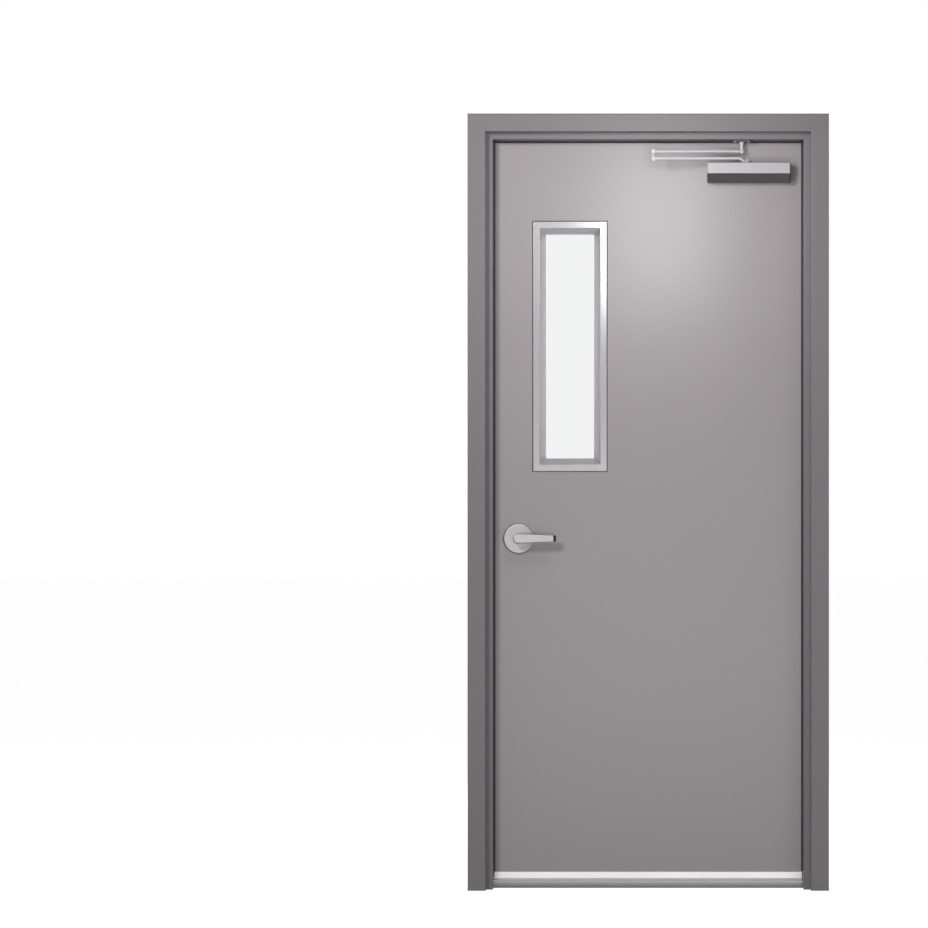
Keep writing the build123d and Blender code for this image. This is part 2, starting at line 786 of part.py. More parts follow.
# Shoe under the soffit, with the collared post and pin that carry the forearm
post_bottom = forearm_height + elbow_boss / 2 + split_gap
post_top = soffit_height - shoe_sheet
with BuildPart() as closer_shoe:
    with BuildSketch(Plane.XY.offset(post_top)) as shoe_outline:
        with Locations((shoe_x, shoe_y)):
            Rectangle(shoe_width, shoe_depth)
        chamfer(shoe_outline.vertices(), shoe_corner)
    extrude(amount=shoe_sheet)
    with Locations((shoe_x, shoe_y, post_top)):
        Cylinder(post_radius, post_top - post_bottom, align=(Align.CENTER, Align.CENTER, Align.MAX))
        Cylinder(post_collar_radius, post_collar_height,
                 align=(Align.CENTER, Align.CENTER, Align.MAX))
    with Locations((shoe_x, shoe_y, post_bottom)):
        Cylinder(elbow_pin_radius, split_gap + elbow_boss + post_pin_end,
                 align=(Align.CENTER, Align.CENTER, Align.MAX))
closer_shoe.part.label = "closer_shoe"
export_step(closer_shoe.part, "parts/closer_shoe.step")

# Door-bottom sweep: a bright holder on the push face and its rubber lip
sweep_half_length = stop_half_width - sweep_side_gap
with BuildPart() as sweep_retainer:
    with BuildSketch(push_face):
        with Locations((0, sweep_bottom)):
            Rectangle(2 * sweep_half_length, sweep_height, align=(Align.CENTER, Align.MIN))
    extrude(amount=sweep_proud)
    fillet(sweep_retainer.edges().filter_by(Axis.X).group_by(Axis.Y)[0], sweep_round)
sweep_retainer.part.label = "sweep_retainer"
export_step(sweep_retainer.part, "parts/sweep_retainer.step")

with BuildPart() as sweep_seal:
    with Locations((0, -leaf_face - sweep_proud / 2, sweep_bottom)):
        Box(2 * sweep_half_length, sweep_lip_width, sweep_lift - sweep_lip_gap,
            align=(Align.CENTER, Align.CENTER, Align.MAX))
sweep_seal.part.label = "sweep_seal"
export_step(sweep_seal.part, "parts/sweep_seal.step")
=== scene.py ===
import json
import math

import bmesh
import bpy
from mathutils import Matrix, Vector


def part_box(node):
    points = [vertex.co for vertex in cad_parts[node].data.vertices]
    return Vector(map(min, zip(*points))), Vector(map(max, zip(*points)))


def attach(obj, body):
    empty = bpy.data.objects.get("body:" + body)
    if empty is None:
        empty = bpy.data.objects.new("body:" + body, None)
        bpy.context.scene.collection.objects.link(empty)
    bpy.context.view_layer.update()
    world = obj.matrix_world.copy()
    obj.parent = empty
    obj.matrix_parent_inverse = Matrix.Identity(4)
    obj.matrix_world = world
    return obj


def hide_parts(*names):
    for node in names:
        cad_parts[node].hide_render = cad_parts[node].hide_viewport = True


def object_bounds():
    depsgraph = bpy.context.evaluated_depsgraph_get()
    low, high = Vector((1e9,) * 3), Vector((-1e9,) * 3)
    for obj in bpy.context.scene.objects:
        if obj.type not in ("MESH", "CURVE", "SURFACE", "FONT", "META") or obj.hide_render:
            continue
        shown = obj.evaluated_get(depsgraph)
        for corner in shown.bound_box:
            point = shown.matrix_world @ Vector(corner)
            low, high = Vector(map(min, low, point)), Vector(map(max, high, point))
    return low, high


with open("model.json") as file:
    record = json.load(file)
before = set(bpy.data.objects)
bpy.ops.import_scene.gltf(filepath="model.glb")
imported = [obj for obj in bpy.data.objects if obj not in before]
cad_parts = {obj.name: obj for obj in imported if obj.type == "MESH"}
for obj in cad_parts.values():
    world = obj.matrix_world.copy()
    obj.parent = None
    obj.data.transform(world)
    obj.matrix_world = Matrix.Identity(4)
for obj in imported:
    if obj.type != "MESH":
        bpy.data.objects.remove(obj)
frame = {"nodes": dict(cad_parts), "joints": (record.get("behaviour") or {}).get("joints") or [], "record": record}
cad_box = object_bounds()
scene = bpy.context.scene

# The photograph's frame: its pixels, what one of them spans at the frame's push face, and the
# doorway's centre line and floor line in it
PICTURE = 928
PIXEL_MM = 2.8043
CENTRE_PIXEL = 648.25
FLOOR_PIXEL = 891.58


# Colours and nodes

def colour(code):
    """A linear colour with alpha from an sRGB hex value such as 8F8A8B."""
    channels = [int(code[i:i + 2], 16) / 255 for i in (0, 2, 4)]
    return [c / 12.92 if c <= 0.04045 else ((c + 0.055) / 1.055) ** 2.4 for c in channels] + [1.0]


def add(tree, kind, settings=None, inputs=None):
    """One node, with its settings, its constant inputs and its links."""
    node = tree.nodes.new(kind)
    for name, value in (settings or {}).items():
        setattr(node, name, value)
    for key, value in (inputs or {}).items():
        if isinstance(value, bpy.types.NodeSocket):
            tree.links.new(value, node.inputs[key])
        else:
            node.inputs[key].default_value = value
    return node


def per_metre(millimetres):
    """The scale that draws a pattern of this size on Object coordinates."""
    return 1000.0 / millimetres


def noise(tree, place, millimetres, detail):
    """Noise whose patches have this size."""
    return add(tree, "ShaderNodeTexNoise", inputs={
        "Vector": place, "Scale": per_metre(millimetres), "Detail": detail})


def object_place(tree):
    return add(tree, "ShaderNodeTexCoord").outputs["Object"]


def new_material(name):
    material = bpy.data.materials.new(name)
    material.use_nodes = True
    material.node_tree.nodes.clear()
    return material, material.node_tree


def finish_with(tree, shader):
    add(tree, "ShaderNodeOutputMaterial", inputs={"Surface": shader})


def two_tones(tree, factor, first, second):
    """A colour between two hex colours, by a factor from 0 to 1."""
    mix = add(tree, "ShaderNodeMix", {"data_type": "RGBA"}, {0: factor})
    mix.inputs[6].default_value = colour(first)
    mix.inputs[7].default_value = colour(second)
    return mix.outputs[2]


# Baked enamel on steel: a sprayed, oven-baked coat, grey on the door and silver on the closer. The
# eye sees an even tone with a soft sheen, a broad blurred highlight, a faint orange peel and slow
# unevenness of the sheet.
# The real peel is about 2 mm wide, drawn 5 mm wide so that it still shows at this distance.
def baked_enamel(name, light, dark, roughness):
    material, tree = new_material(name)
    place = object_place(tree)
    slow = noise(tree, place, 420, 2.0)
    peel = noise(tree, place, 5, 1.0)
    sheet = noise(tree, place, 260, 0.0)
    tone = two_tones(tree, slow.outputs["Fac"], dark, light)
    wave = add(tree, "ShaderNodeBump", inputs={
        "Height": sheet.outputs["Fac"], "Strength": 0.06, "Distance": 0.004})
    bump = add(tree, "ShaderNodeBump", inputs={
        "Height": peel.outputs["Fac"], "Strength": 0.05, "Distance": 0.0002,
        "Normal": wave.outputs["Normal"]})
    gloss = add(tree, "ShaderNodeMapRange", inputs={
        "Value": slow.outputs["Fac"], "To Min": roughness - 0.03, "To Max": roughness + 0.03})
    finish_with(tree, add(tree, "ShaderNodeBsdfPrincipled", inputs={
        "Base Color": tone, "Roughness": gloss.outputs["Result"], "Normal": bump.outputs["Normal"],
        "IOR": 1.5}).outputs[0])
    return material


# Enamel in two colours that meet at a fold, the darker one painted shade: the closer's silver cover is painted
# charcoal below its fold, on the facet that faces down into shade, and the shoe's silver post sits under a plate
# painted dark where it lies in shade under the head. The eye sees two smooth, even coats and one sharp line
# between them.
def enamel_with_painted_shade(name, upper, lower, fold_height, roughness):
    material, tree = new_material(name)
    place = object_place(tree)
    height = add(tree, "ShaderNodeSeparateXYZ", inputs={0: place}).outputs["Z"]
    below = add(tree, "ShaderNodeMath", {"operation": "LESS_THAN"}, {0: height, 1: fold_height})
    mottle = noise(tree, place, 2, 1.0)
    bump = add(tree, "ShaderNodeBump", inputs={
        "Height": mottle.outputs["Fac"], "Strength": 0.05, "Distance": 0.0002})
    # Painted shade: the darker colour is put on by height, on one side of the fold.
    finish_with(tree, add(tree, "ShaderNodeBsdfPrincipled", inputs={
        "Base Color": two_tones(tree, below.outputs[0], upper, lower), "Roughness": roughness,
        "Normal": bump.outputs["Normal"], "IOR": 1.5}).outputs[0])
    return material


# Satin metal: brushed or fine-blasted and then plated or left bare. The eye sees a soft grey metal
# whose highlight is drawn out across the fine lines. The real lines are about 0.1 mm apart, drawn
# 0.6 mm apart, and 1.6 mm on the levers, so that they show in a close view.
def satin_metal(name, light, dark, roughness, grain=(1, 1, 1), line_mm=0.6, strength=0.08):
    material, tree = new_material(name)
    place = object_place(tree)
    along = add(tree, "ShaderNodeMapping", inputs={"Vector": place, "Scale": grain})
    lines = noise(tree, along.outputs["Vector"], line_mm, 3.0)
    cloud = noise(tree, place, 45, 2.0)
    tone = two_tones(tree, cloud.outputs["Fac"], dark, light)
    gloss = add(tree, "ShaderNodeMapRange", inputs={
        "Value": lines.outputs["Fac"], "To Min": roughness - 0.06, "To Max": roughness + 0.06})
    bump = add(tree, "ShaderNodeBump", inputs={
        "Height": lines.outputs["Fac"], "Strength": strength, "Distance": 0.0001})
    finish_with(tree, add(tree, "ShaderNodeBsdfPrincipled", inputs={
        "Base Color": tone, "Metallic": 1.0, "Roughness": gloss.outputs["Result"],
        "Normal": bump.outputs["Normal"]}).outputs[0])
    return material


# The view light's trim: satin anodised aluminium. The eye sees crisp reflections in its flat lip, and a blurred
# grey in the deep bevel, which is rougher. The bevel's lighter grey is painted light: it stands in for the sheen
# the bevel catches, and the real trim is one even metal.
def trim_metal_with_painted_bevel_light(name, lip, bevel, lip_depth, roughness):
    material, tree = new_material(name)
    place = object_place(tree)
    depth = add(tree, "ShaderNodeSeparateXYZ", inputs={0: place}).outputs["Y"]
    away = add(tree, "ShaderNodeMath", {"operation": "ABSOLUTE"}, {0: depth})
    deep = add(tree, "ShaderNodeMath", {"operation": "LESS_THAN"}, {0: away.outputs[0], 1: lip_depth})
    lines = noise(tree, place, 0.6, 2.0)
    gloss = add(tree, "ShaderNodeMapRange", inputs={
        "Value": lines.outputs["Fac"], "To Min": roughness - 0.05, "To Max": roughness + 0.05})
    duller = add(tree, "ShaderNodeMath", {"operation": "MULTIPLY_ADD"},
                 {0: deep.outputs[0], 1: 0.3, 2: gloss.outputs["Result"]})
    finish_with(tree, add(tree, "ShaderNodeBsdfPrincipled", inputs={
        # Painted light: the bevel takes a lighter grey than the lip, for the sheen it catches.
        "Base Color": two_tones(tree, deep.outputs[0], lip, bevel), "Metallic": 1.0,
        "Roughness": duller.outputs[0]}).outputs[0])
    return material


# The sill's anodised aluminium, with long faint scuffs along it. Its colour is painted shade: dark at its foot and
# lighter up to its nose, where light falls more on it.
def scuffed_sill_with_painted_shade(name, foot, nose, nose_height, roughness):
    material, tree = new_material(name)
    place = object_place(tree)
    height = add(tree, "ShaderNodeSeparateXYZ", inputs={0: place}).outputs["Z"]
    share = add(tree, "ShaderNodeMapRange", inputs={"Value": height, "From Max": nose_height})
    # Painted shade: the colour is darker towards the foot and lighter towards the nose.
    painted_shade_share = add(tree, "ShaderNodeMath", {"operation": "POWER"}, {0: share.outputs["Result"], 1: 1.6})
    scuffs = add(tree, "ShaderNodeMapping", inputs={"Vector": place, "Scale": (0.15, 1, 1)})
    marks = noise(tree, scuffs.outputs["Vector"], 6, 3.0)
    gloss = add(tree, "ShaderNodeMapRange", inputs={
        "Value": marks.outputs["Fac"], "To Min": roughness - 0.06, "To Max": roughness + 0.06})
    finish_with(tree, add(tree, "ShaderNodeBsdfPrincipled", inputs={
        "Base Color": two_tones(tree, painted_shade_share.outputs[0], foot, nose), "Metallic": 1.0,
        "Roughness": gloss.outputs["Result"]}).outputs[0])
    return material


# Zinc plate on pressed steel: a cool grey with a crystal bloom in soft patches about 8 mm wide.
def zinc_plate(name, light, dark):
    material, tree = new_material(name)
    place = object_place(tree)
    bloom = add(tree, "ShaderNodeTexVoronoi", inputs={"Vector": place, "Scale": per_metre(8)})
    tone = two_tones(tree, bloom.outputs["Distance"], light, dark)
    finish_with(tree, add(tree, "ShaderNodeBsdfPrincipled", inputs={
        "Base Color": tone, "Metallic": 1.0, "Roughness": 0.42}).outputs[0])
    return material


# Grey primer, sprayed thin and matt, a little dusty and uneven over the bare plate.
def primer(name, light, dark):
    material, tree = new_material(name)
    place = object_place(tree)
    mottle = noise(tree, place, 30, 4.0)
    bump = add(tree, "ShaderNodeBump", inputs={
        "Height": mottle.outputs["Fac"], "Strength": 0.1, "Distance": 0.0003})
    finish_with(tree, add(tree, "ShaderNodeBsdfPrincipled", inputs={
        "Base Color": two_tones(tree, mottle.outputs["Fac"], dark, light), "Roughness": 0.72,
        "Normal": bump.outputs["Normal"], "IOR": 1.5}).outputs[0])
    return material


# Extruded rubber or vinyl: matt, with a faint bloom in patches about 12 mm wide. The frame's seal
# is near black EPDM, and the sweep's fin is pale grey vinyl.
def seal_rubber(name, light, dark):
    material, tree = new_material(name)
    place = object_place(tree)
    bloom = noise(tree, place, 12, 3.0)
    bump = add(tree, "ShaderNodeBump", inputs={
        "Height": bloom.outputs["Fac"], "Strength": 0.15, "Distance": 0.0003})
    finish_with(tree, add(tree, "ShaderNodeBsdfPrincipled", inputs={
        "Base Color": two_tones(tree, bloom.outputs["Fac"], dark, light), "Roughness": 0.62,
        "Normal": bump.outputs["Normal"], "IOR": 1.5}).outputs[0])
    return material


# Moulded black ABS: a fine spark-eroded grain, about 0.3 mm, drawn 0.8 mm so that it shows.
def moulded_abs(name, light, dark):
    material, tree = new_material(name)
    place = object_place(tree)
    grain = noise(tree, place, 0.8, 2.0)
    bump = add(tree, "ShaderNodeBump", inputs={
        "Height": grain.outputs["Fac"], "Strength": 0.2, "Distance": 0.0001})
    finish_with(tree, add(tree, "ShaderNodeBsdfPrincipled", inputs={
        "Base Color": two_tones(tree, grain.outputs["Fac"], dark, light), "Roughness": 0.55,
        "Normal": bump.outputs["Normal"], "IOR": 1.54, "Specular IOR Level": 0.2}).outputs[0])
    return material


# Bead polystyrene board: white beads about 4 mm wide pressed together. It is hidden by the skins.
def bead_board(name, light, dark):
    material, tree = new_material(name)
    place = object_place(tree)
    beads = add(tree, "ShaderNodeTexVoronoi", inputs={"Vector": place, "Scale": per_metre(4)})
    bump = add(tree, "ShaderNodeBump", inputs={
        "Height": beads.outputs["Distance"], "Strength": 0.4, "Distance": -0.0008})
    finish_with(tree, add(tree, "ShaderNodeBsdfPrincipled", inputs={
        "Base Color": two_tones(tree, beads.outputs["Distance"], light, dark), "Roughness": 0.8,
        "Normal": bump.outputs["Normal"], "IOR": 1.5}).outputs[0])
    return material


# Float glass: clear, with a slight green in its thickness and the smallest waviness.
def float_glass(name, tint):
    material, tree = new_material(name)
    place = object_place(tree)
    ream = noise(tree, place, 160, 0.0)
    bump = add(tree, "ShaderNodeBump", inputs={
        "Height": ream.outputs["Fac"], "Strength": 0.02, "Distance": 0.0005})
    finish_with(tree, add(tree, "ShaderNodeBsdfPrincipled", inputs={
        "Base Color": colour(tint), "Roughness": 0.02, "IOR": 1.52, "Transmission Weight": 1.0,
        "Normal": bump.outputs["Normal"]}).outputs[0])
    return material


# Where painted shade and tone change in the CAD model: the folds' heights, where the painted shade of the shoe's
# plate and the closer's lower facet begins, the lip's depth, where the trim's painted bevel tone begins, and the
# sill's top, where its painted shade fades out
CLOSER_FOLD = 2.0199
SHOE_FOLD = 2.1100
LIP_DEPTH = 0.0246
SILL_NOSE = 0.0235

finishes = {
    "frame_paint": baked_enamel("baked_enamel_frame", "686366", "625D60", 0.44),
    "leaf_paint": baked_enamel("baked_enamel_leaf", "8F898B", "898385", 0.34),
    "seal_rubber": seal_rubber("epdm_rubber", "111114", "0A0A0C"),
    "sweep_vinyl": seal_rubber("pale_grey_vinyl", "CBC8CB", "BFBCBF"),
    "sill_aluminium": scuffed_sill_with_painted_shade("grey_anodised_aluminium", "504E50", "8C8A8C", SILL_NOSE, 0.36),
    "primed_steel": primer("grey_primer", "6E6F70", "5C5D5F"),
    "zinc_steel": zinc_plate("zinc_plate", "B4B7BA", "8F9397"),
    "satin_steel": satin_metal("satin_stainless_steel", "9A9896", "8C8A88", 0.50, grain=(1, 1, 0.03)),
    "satin_lever": satin_metal("satin_chrome_on_zinc", "949091", "888485", 0.44,
                               line_mm=1.6, strength=0.04),
    "lever_cap_plastic": moulded_abs("moulded_black_abs", "161618", "0C0C0E"),
    "core_board": bead_board("bead_polystyrene", "EDEBE4", "CFCCC2"),
    "lite_steel": trim_metal_with_painted_bevel_light("satin_anodised_aluminium", "959395", "ACA9AC", LIP_DEPTH, 0.24),
    "clear_glass": float_glass("float_glass", "F1F2F2"),
    "closer_paint": baked_enamel("silver_enamel", "C4C1C4", "BCB9BC", 0.34),
    "sweep_aluminium": satin_metal("bright_anodised_aluminium", "CAC8C9", "C0BEBF", 0.55,
                                   grain=(0.02, 1, 1), strength=0.04),
}
# Painted shade: the shoe's plate is painted near black where it lies in shade under the head's soffit, above its
# silver post.
shoe_painted_shade = enamel_with_painted_shade("painted_shade_plate_and_silver_post", "2B292B", "C0BDC0", SHOE_FOLD, 0.38)
# Painted shade: the closer's silver cover is painted charcoal below its fold, on the facet that faces down into
# shade.
closer_cover = enamel_with_painted_shade("silver_enamel_with_painted_shade_below", "A5A1A4", "302D2F", CLOSER_FOLD, 0.40)
slot_of = {row["node"]: row["material_slot"] for row in frame["record"]["subparts"]}
for node_name, node_object in frame["nodes"].items():
    node_object.data.materials.clear()
    node_object.data.materials.append(finishes[slot_of[node_name]])


# Shapes in mesh code

def place_piece(name, mesh, slot_name, body, replaced=(), finish=None):
    """A finished mesh becomes a piece of one body in one of the record's finishes."""
    piece = bpy.data.objects.new(name, mesh)
    scene.collection.objects.link(piece)
    if not mesh.materials:
        mesh.materials.append(finish or finishes[slot_name])
    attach(piece, body)
    if replaced:
        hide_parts(*replaced)
    return piece


def shaded(mesh, limit=35):
    """Smooth shading with hard edges past a limit in degrees. A large flat face keeps its normal."""
    for polygon in mesh.polygons:
        polygon.use_smooth = True
    mesh.set_sharp_from_angle(angle=math.radians(limit))
    holder = bpy.data.objects.new("shading_holder", mesh)
    scene.collection.objects.link(holder)
    holder.modifiers.new("weighted normals", "WEIGHTED_NORMAL").keep_sharp = True
    evaluated = holder.evaluated_get(bpy.context.evaluated_depsgraph_get())
    smooth = bpy.data.meshes.new_from_object(evaluated)
    bpy.data.objects.remove(holder)
    return smooth


def eased_copy(node, width_mm):
    """A copy of a CAD node's mesh with its sharp edges eased, as a real casting or plate has."""
    source = frame["nodes"][node]
    work = bmesh.new()
    work.from_mesh(source.data)
    bmesh.ops.remove_doubles(work, verts=work.verts, dist=1e-6)
    bmesh.ops.dissolve_limit(work, angle_limit=math.radians(1), verts=work.verts, edges=work.edges)
    sharp = [e for e in work.edges
             if len(e.link_faces) == 2 and e.calc_face_angle(0) > math.radians(35)]
    bmesh.ops.bevel(work, geom=sharp, offset=width_mm / 1000, segments=2, profile=0.5,
                    affect="EDGES", clamp_overlap=True)
    mesh = bpy.data.meshes.new(node + "_eased")
    work.to_mesh(mesh)
    work.free()
    return shaded(mesh)


def stack_of_rings(name, rings, ends=True):
    """A closed skin over rings of equally many points. Its ends are filled, or else its last ring
    repeats the first and is merged with it."""
    work = bmesh.new()
    loops = [[work.verts.new(point) for point in ring] for ring in rings]
    count = len(loops[0])
    for lower, upper in zip(loops, loops[1:]):
        for i in range(count):
            j = (i + 1) % count
            work.faces.new((lower[i], lower[j], upper[j], upper[i]))
    if ends:
        work.faces.new(list(reversed(loops[0])))
        work.faces.new(loops[-1])
    bmesh.ops.remove_doubles(work, verts=work.verts, dist=1e-7)
    bmesh.ops.recalc_face_normals(work, faces=work.faces)
    mesh = bpy.data.meshes.new(name)
    work.to_mesh(mesh)
    work.free()
    return mesh


def turned(name, centre, axis, profile, count=96, ends=True):
    """A shape turned round an axis, from (radius, distance along the axis) pairs in mm."""
    turn = Vector((0, 0, 1)).rotation_difference(Vector(axis)).to_matrix()
    rings = []
    for radius, along in profile:
        ring = []
        for i in range(count):
            angle = 2 * math.pi * i / count
            point = Vector((radius * math.cos(angle), radius * math.sin(angle), along)) / 1000
            ring.append(turn @ point + Vector(centre))
        rings.append(ring)
    return stack_of_rings(name, rings, ends)


def quarter(steps):
    """Angles from zero to a right angle."""
    return [math.pi / 2 * i / steps for i in range(steps + 1)]


def rounded(start, end, steps=6):
    """A quarter round from one (radius, distance) point to another, starting along the axis."""
    (r0, y0), (r1, y1) = start, end
    return [(r0 + (r1 - r0) * (1 - math.cos(angle)), y0 + (y1 - y0) * math.sin(angle))
            for angle in quarter(steps)]


# Lever lock: the spindle's place from the push rose
rose_low, rose_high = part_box("push_rose")
lever_low, lever_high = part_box("push_lever")
LOCK_X = (rose_low.x + rose_high.x) / 2
LOCK_Z = (rose_low.z + rose_high.z) / 2
ROSE_RADIUS = (rose_high.x - rose_low.x) / 2 * 1000
ROSE_THICK = (rose_high.y - rose_low.y) * 1000
LEAF_FACE = -rose_high.y
ROOT_RADIUS = (lever_high.z - lever_low.z) / 2
REACH = lever_high.x - LOCK_X
TIP_HALF = 0.0097
LEVER_THICK = 0.014
LEVER_EDGE = 0.003
LEVER_FLAT = 0.0006
NECK_RADIUS = 11.4


def lever_outline(inset):
    """Outline of the lever's plan, root circle and square tip, moved inwards by an inset."""
    root = ROOT_RADIUS - inset
    half = TIP_HALF - inset
    reach = REACH - inset
    lean = math.acos((root - half) / reach)
    points = []
    steps = 40
    for i in range(steps + 1):
        angle = lean + (2 * math.pi - 2 * lean) * i / steps
        points.append((root * math.cos(angle), root * math.sin(angle)))
    bottom = [(reach * t, -root * math.sin(lean) * (1 - t) - half * t) for t in (0.3, 0.6, 0.9, 1.0)]
    top = [(x, -z) for x, z in reversed(bottom)]
    return points + bottom + [(reach, 0.0)] + top


def smooth_lever(name, side):
    """Lever arm with rounded edges and its turned neck. Side is -1 on the push face."""
    back = LEAF_FACE + (lever_high.y - lever_low.y) + 0.0005 - LEVER_THICK
    front = back + LEVER_THICK
    levels = [(LEVER_EDGE * (1 - math.sin(angle)), back + LEVER_EDGE * (1 - math.cos(angle)))
              for angle in quarter(6)]
    levels += [(LEVER_EDGE * (1 - math.cos(angle)), front - LEVER_EDGE * (1 - math.sin(angle)))
               for angle in quarter(6)]
    (first_inset, first_depth), (last_inset, last_depth) = levels[0], levels[-1]
    levels.insert(0, (first_inset + LEVER_FLAT, first_depth))
    levels.append((last_inset + LEVER_FLAT, last_depth))
    rings = [[(LOCK_X + x, side * depth, LOCK_Z + z) for x, z in lever_outline(inset)]
             for inset, depth in levels]
    arm = stack_of_rings(name + "_arm", rings)
    neck_end = (back - LEAF_FACE) * 1000
    flare = (NECK_RADIUS, neck_end - 9.0)
    profile = [(NECK_RADIUS, 0.5), flare] + rounded(flare, (13.2, neck_end + 0.5), 5)[1:]
    neck = turned(name + "_neck", (LOCK_X, side * LEAF_FACE, LOCK_Z), (0, side, 0), profile)
    work = bmesh.new()
    work.from_mesh(arm)
    work.from_mesh(neck)
    mesh = bpy.data.meshes.new(name)
    work.to_mesh(mesh)
    work.free()
    return shaded(mesh, 40)


def smooth_rose(name, side):
    """Rose with a rolled rim, a shallow dish and a small step round the lever's neck."""
    face = ROSE_THICK
    profile = [(12.2, 0.2), (ROSE_RADIUS, 0.0), (ROSE_RADIUS, face - 4.2)]
    profile += rounded((ROSE_RADIUS, face - 4.2), (ROSE_RADIUS - 3.6, face))[1:]
    profile += [(ROSE_RADIUS - 4.6, face), (ROSE_RADIUS - 6.4, face - 0.35), (26.0, face - 0.6),
                (17.5, face - 0.6), (16.6, face - 0.1), (15.2, face - 0.1), (14.4, face - 0.9),
                (12.2, face - 0.9), (12.2, 0.2)]
    rose = turned(name, (LOCK_X, side * LEAF_FACE, LOCK_Z), (0, side, 0), profile, ends=False)
    return shaded(rose, 40)


for face_name, side in (("push", -1), ("pull", 1)):
    lever_mesh = smooth_lever(face_name + "_lever_smooth", side)
    place_piece(face_name + "_lever_arm", lever_mesh, "satin_lever", "lever_set",
                [face_name + "_lever"])
    rose_mesh = smooth_rose(face_name + "_rose_smooth", side)
    place_piece(face_name + "_rose_dished", rose_mesh, "satin_lever", "door_leaf",
                [face_name + "_rose"])
    cap_mesh = eased_copy(face_name + "_lever_cap", 0.8)
    place_piece(face_name + "_cap_eased", cap_mesh, "lever_cap_plastic", "lever_set",
                [face_name + "_lever_cap"])

# Cast and pressed pieces with their edges eased, so that they catch the light
for node_name, body, width_mm in (
    ("closer_spindle", "main_arm", 0.4), ("strike_plate", "frame", 0.4),
    ("lock_faceplate", "door_leaf", 0.3), ("sweep_retainer", "door_leaf", 0.5),
    ("bottom_hinge_frame_leaf", "frame", 0.5), ("middle_hinge_frame_leaf", "frame", 0.5),
    ("top_hinge_frame_leaf", "frame", 0.5), ("bottom_hinge_door_leaf", "door_leaf", 0.5),
    ("middle_hinge_door_leaf", "door_leaf", 0.5), ("top_hinge_door_leaf", "door_leaf", 0.5),
):
    place_piece(node_name + "_eased", eased_copy(node_name, width_mm), slot_of[node_name], body,
                [node_name])
place_piece("closer_shoe_eased", eased_copy("closer_shoe", 0.6), "closer_paint", "frame",
            ["closer_shoe"], shoe_painted_shade)
place_piece("closer_cover", eased_copy("closer_body", 0.9), "closer_paint", "door_leaf",
            ["closer_body"], closer_cover)


def extrusion(name, outline, low_x, high_x):
    """A bar along the doorway, from its section's (depth, height) pairs in mm."""
    rings = [[(x, y / 1000, z / 1000) for y, z in outline] for x in (low_x, high_x)]
    return stack_of_rings(name, rings)


# The sill bar: a fluted top with a small rounded nose that catches the light under the sweep
sill_low, sill_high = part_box("threshold")
front, back, top = sill_low.y * 1000, sill_high.y * 1000, sill_high.z * 1000
nose = 3.0
flute_pitch = 4.2
sill_outline = [(front, 0.0), (front, 3.0), (front + 0.7, top - 3.6)]
sill_outline += [(front + 0.7 + nose * (1 - math.cos(a)), top - nose + nose * math.sin(a))
                 for a in quarter(6)[1:]]
flute = front + 6.5
while flute < back - 9.0:
    sill_outline += [(flute, top), (flute + 0.5, top - 0.8),
                     (flute + 1.3, top - 0.8), (flute + 1.8, top)]
    flute += flute_pitch
sill_outline += [(back - 3.0, top), (back - 0.9, top - 0.9), (back, top - 3.0), (back, 0.0)]
place_piece("fluted_sill", shaded(extrusion("fluted_sill", sill_outline, sill_low.x, sill_high.x), 30),
            "sill_aluminium", "frame", ["threshold"])

# The sweep's vinyl fin, which hangs in front of the sill's nose and brushes over it
fin_low, fin_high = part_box("sweep_seal")
fin_reach, fin_drop = 0.9, 4.6
fin_front, fin_back = fin_low.y * 1000 - fin_reach, fin_high.y * 1000
fin_root, fin_tip = fin_high.z * 1000, fin_low.z * 1000 - fin_drop
fin_outline = [(fin_front + 0.1, fin_root), (fin_front, fin_root - 1.2),
               (fin_front + 0.3, fin_tip + 0.8), (fin_front + 0.9, fin_tip),
               (fin_front + 1.9, fin_tip + 0.2), (fin_front + 2.6, fin_tip + 2.4),
               (fin_front + 2.8, fin_tip + fin_drop), (fin_back, fin_root - 1.2),
               (fin_back, fin_root)]
place_piece("sweep_fin", shaded(extrusion("sweep_fin", fin_outline, fin_low.x, fin_high.x), 50),
            "sweep_vinyl", "door_leaf", ["sweep_seal"])

# Dark glazing tape under the trim's lip, a thin line round it on both faces. It reaches out past the lip, so that
# its dark line also stands in for the shadow round the trim: partly real tape, partly painted shadow.
for face_name, side in (("push", -1), ("pull", 1)):
    low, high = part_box("lite_frame_" + face_name)
    # Painted shadow: the tape's reach past the lip is widened to draw the trim's shadow line.
    outside, under, thick = 0.0016, -0.004, 0.0009
    rings = []
    for grow, depth in ((outside, 0.0), (outside, thick), (under, thick), (under, 0.0)):
        y = side * (LEAF_FACE + depth)
        rings.append([(low.x - grow, y, low.z - grow), (high.x + grow, y, low.z - grow),
                      (high.x + grow, y, high.z + grow), (low.x - grow, y, high.z + grow)])
    rings.append(rings[0])
    place_piece(face_name + "_glazing_tape_and_painted_shadow", stack_of_rings("glazing_tape_and_painted_shadow", rings, ends=False),
                "seal_rubber", "door_leaf")

# The closer's arms sag towards the elbow, which makes them look level from eye height, as in the
# photograph
arm_low, arm_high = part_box("main_arm")
forearm_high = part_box("forearm")[1]
shoe_low, shoe_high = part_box("closer_shoe")
main_arm_pivot, forearm_pivot = (Vector(joint["pos_m"]) for joint in frame["joints"][2:4])
ARM_END_RADIUS = 0.007
ELBOW = Vector((arm_low.x + ARM_END_RADIUS, arm_low.y + ARM_END_RADIUS, 0))
SAG = 0.0072
ARM_END_FOOT = 2.056


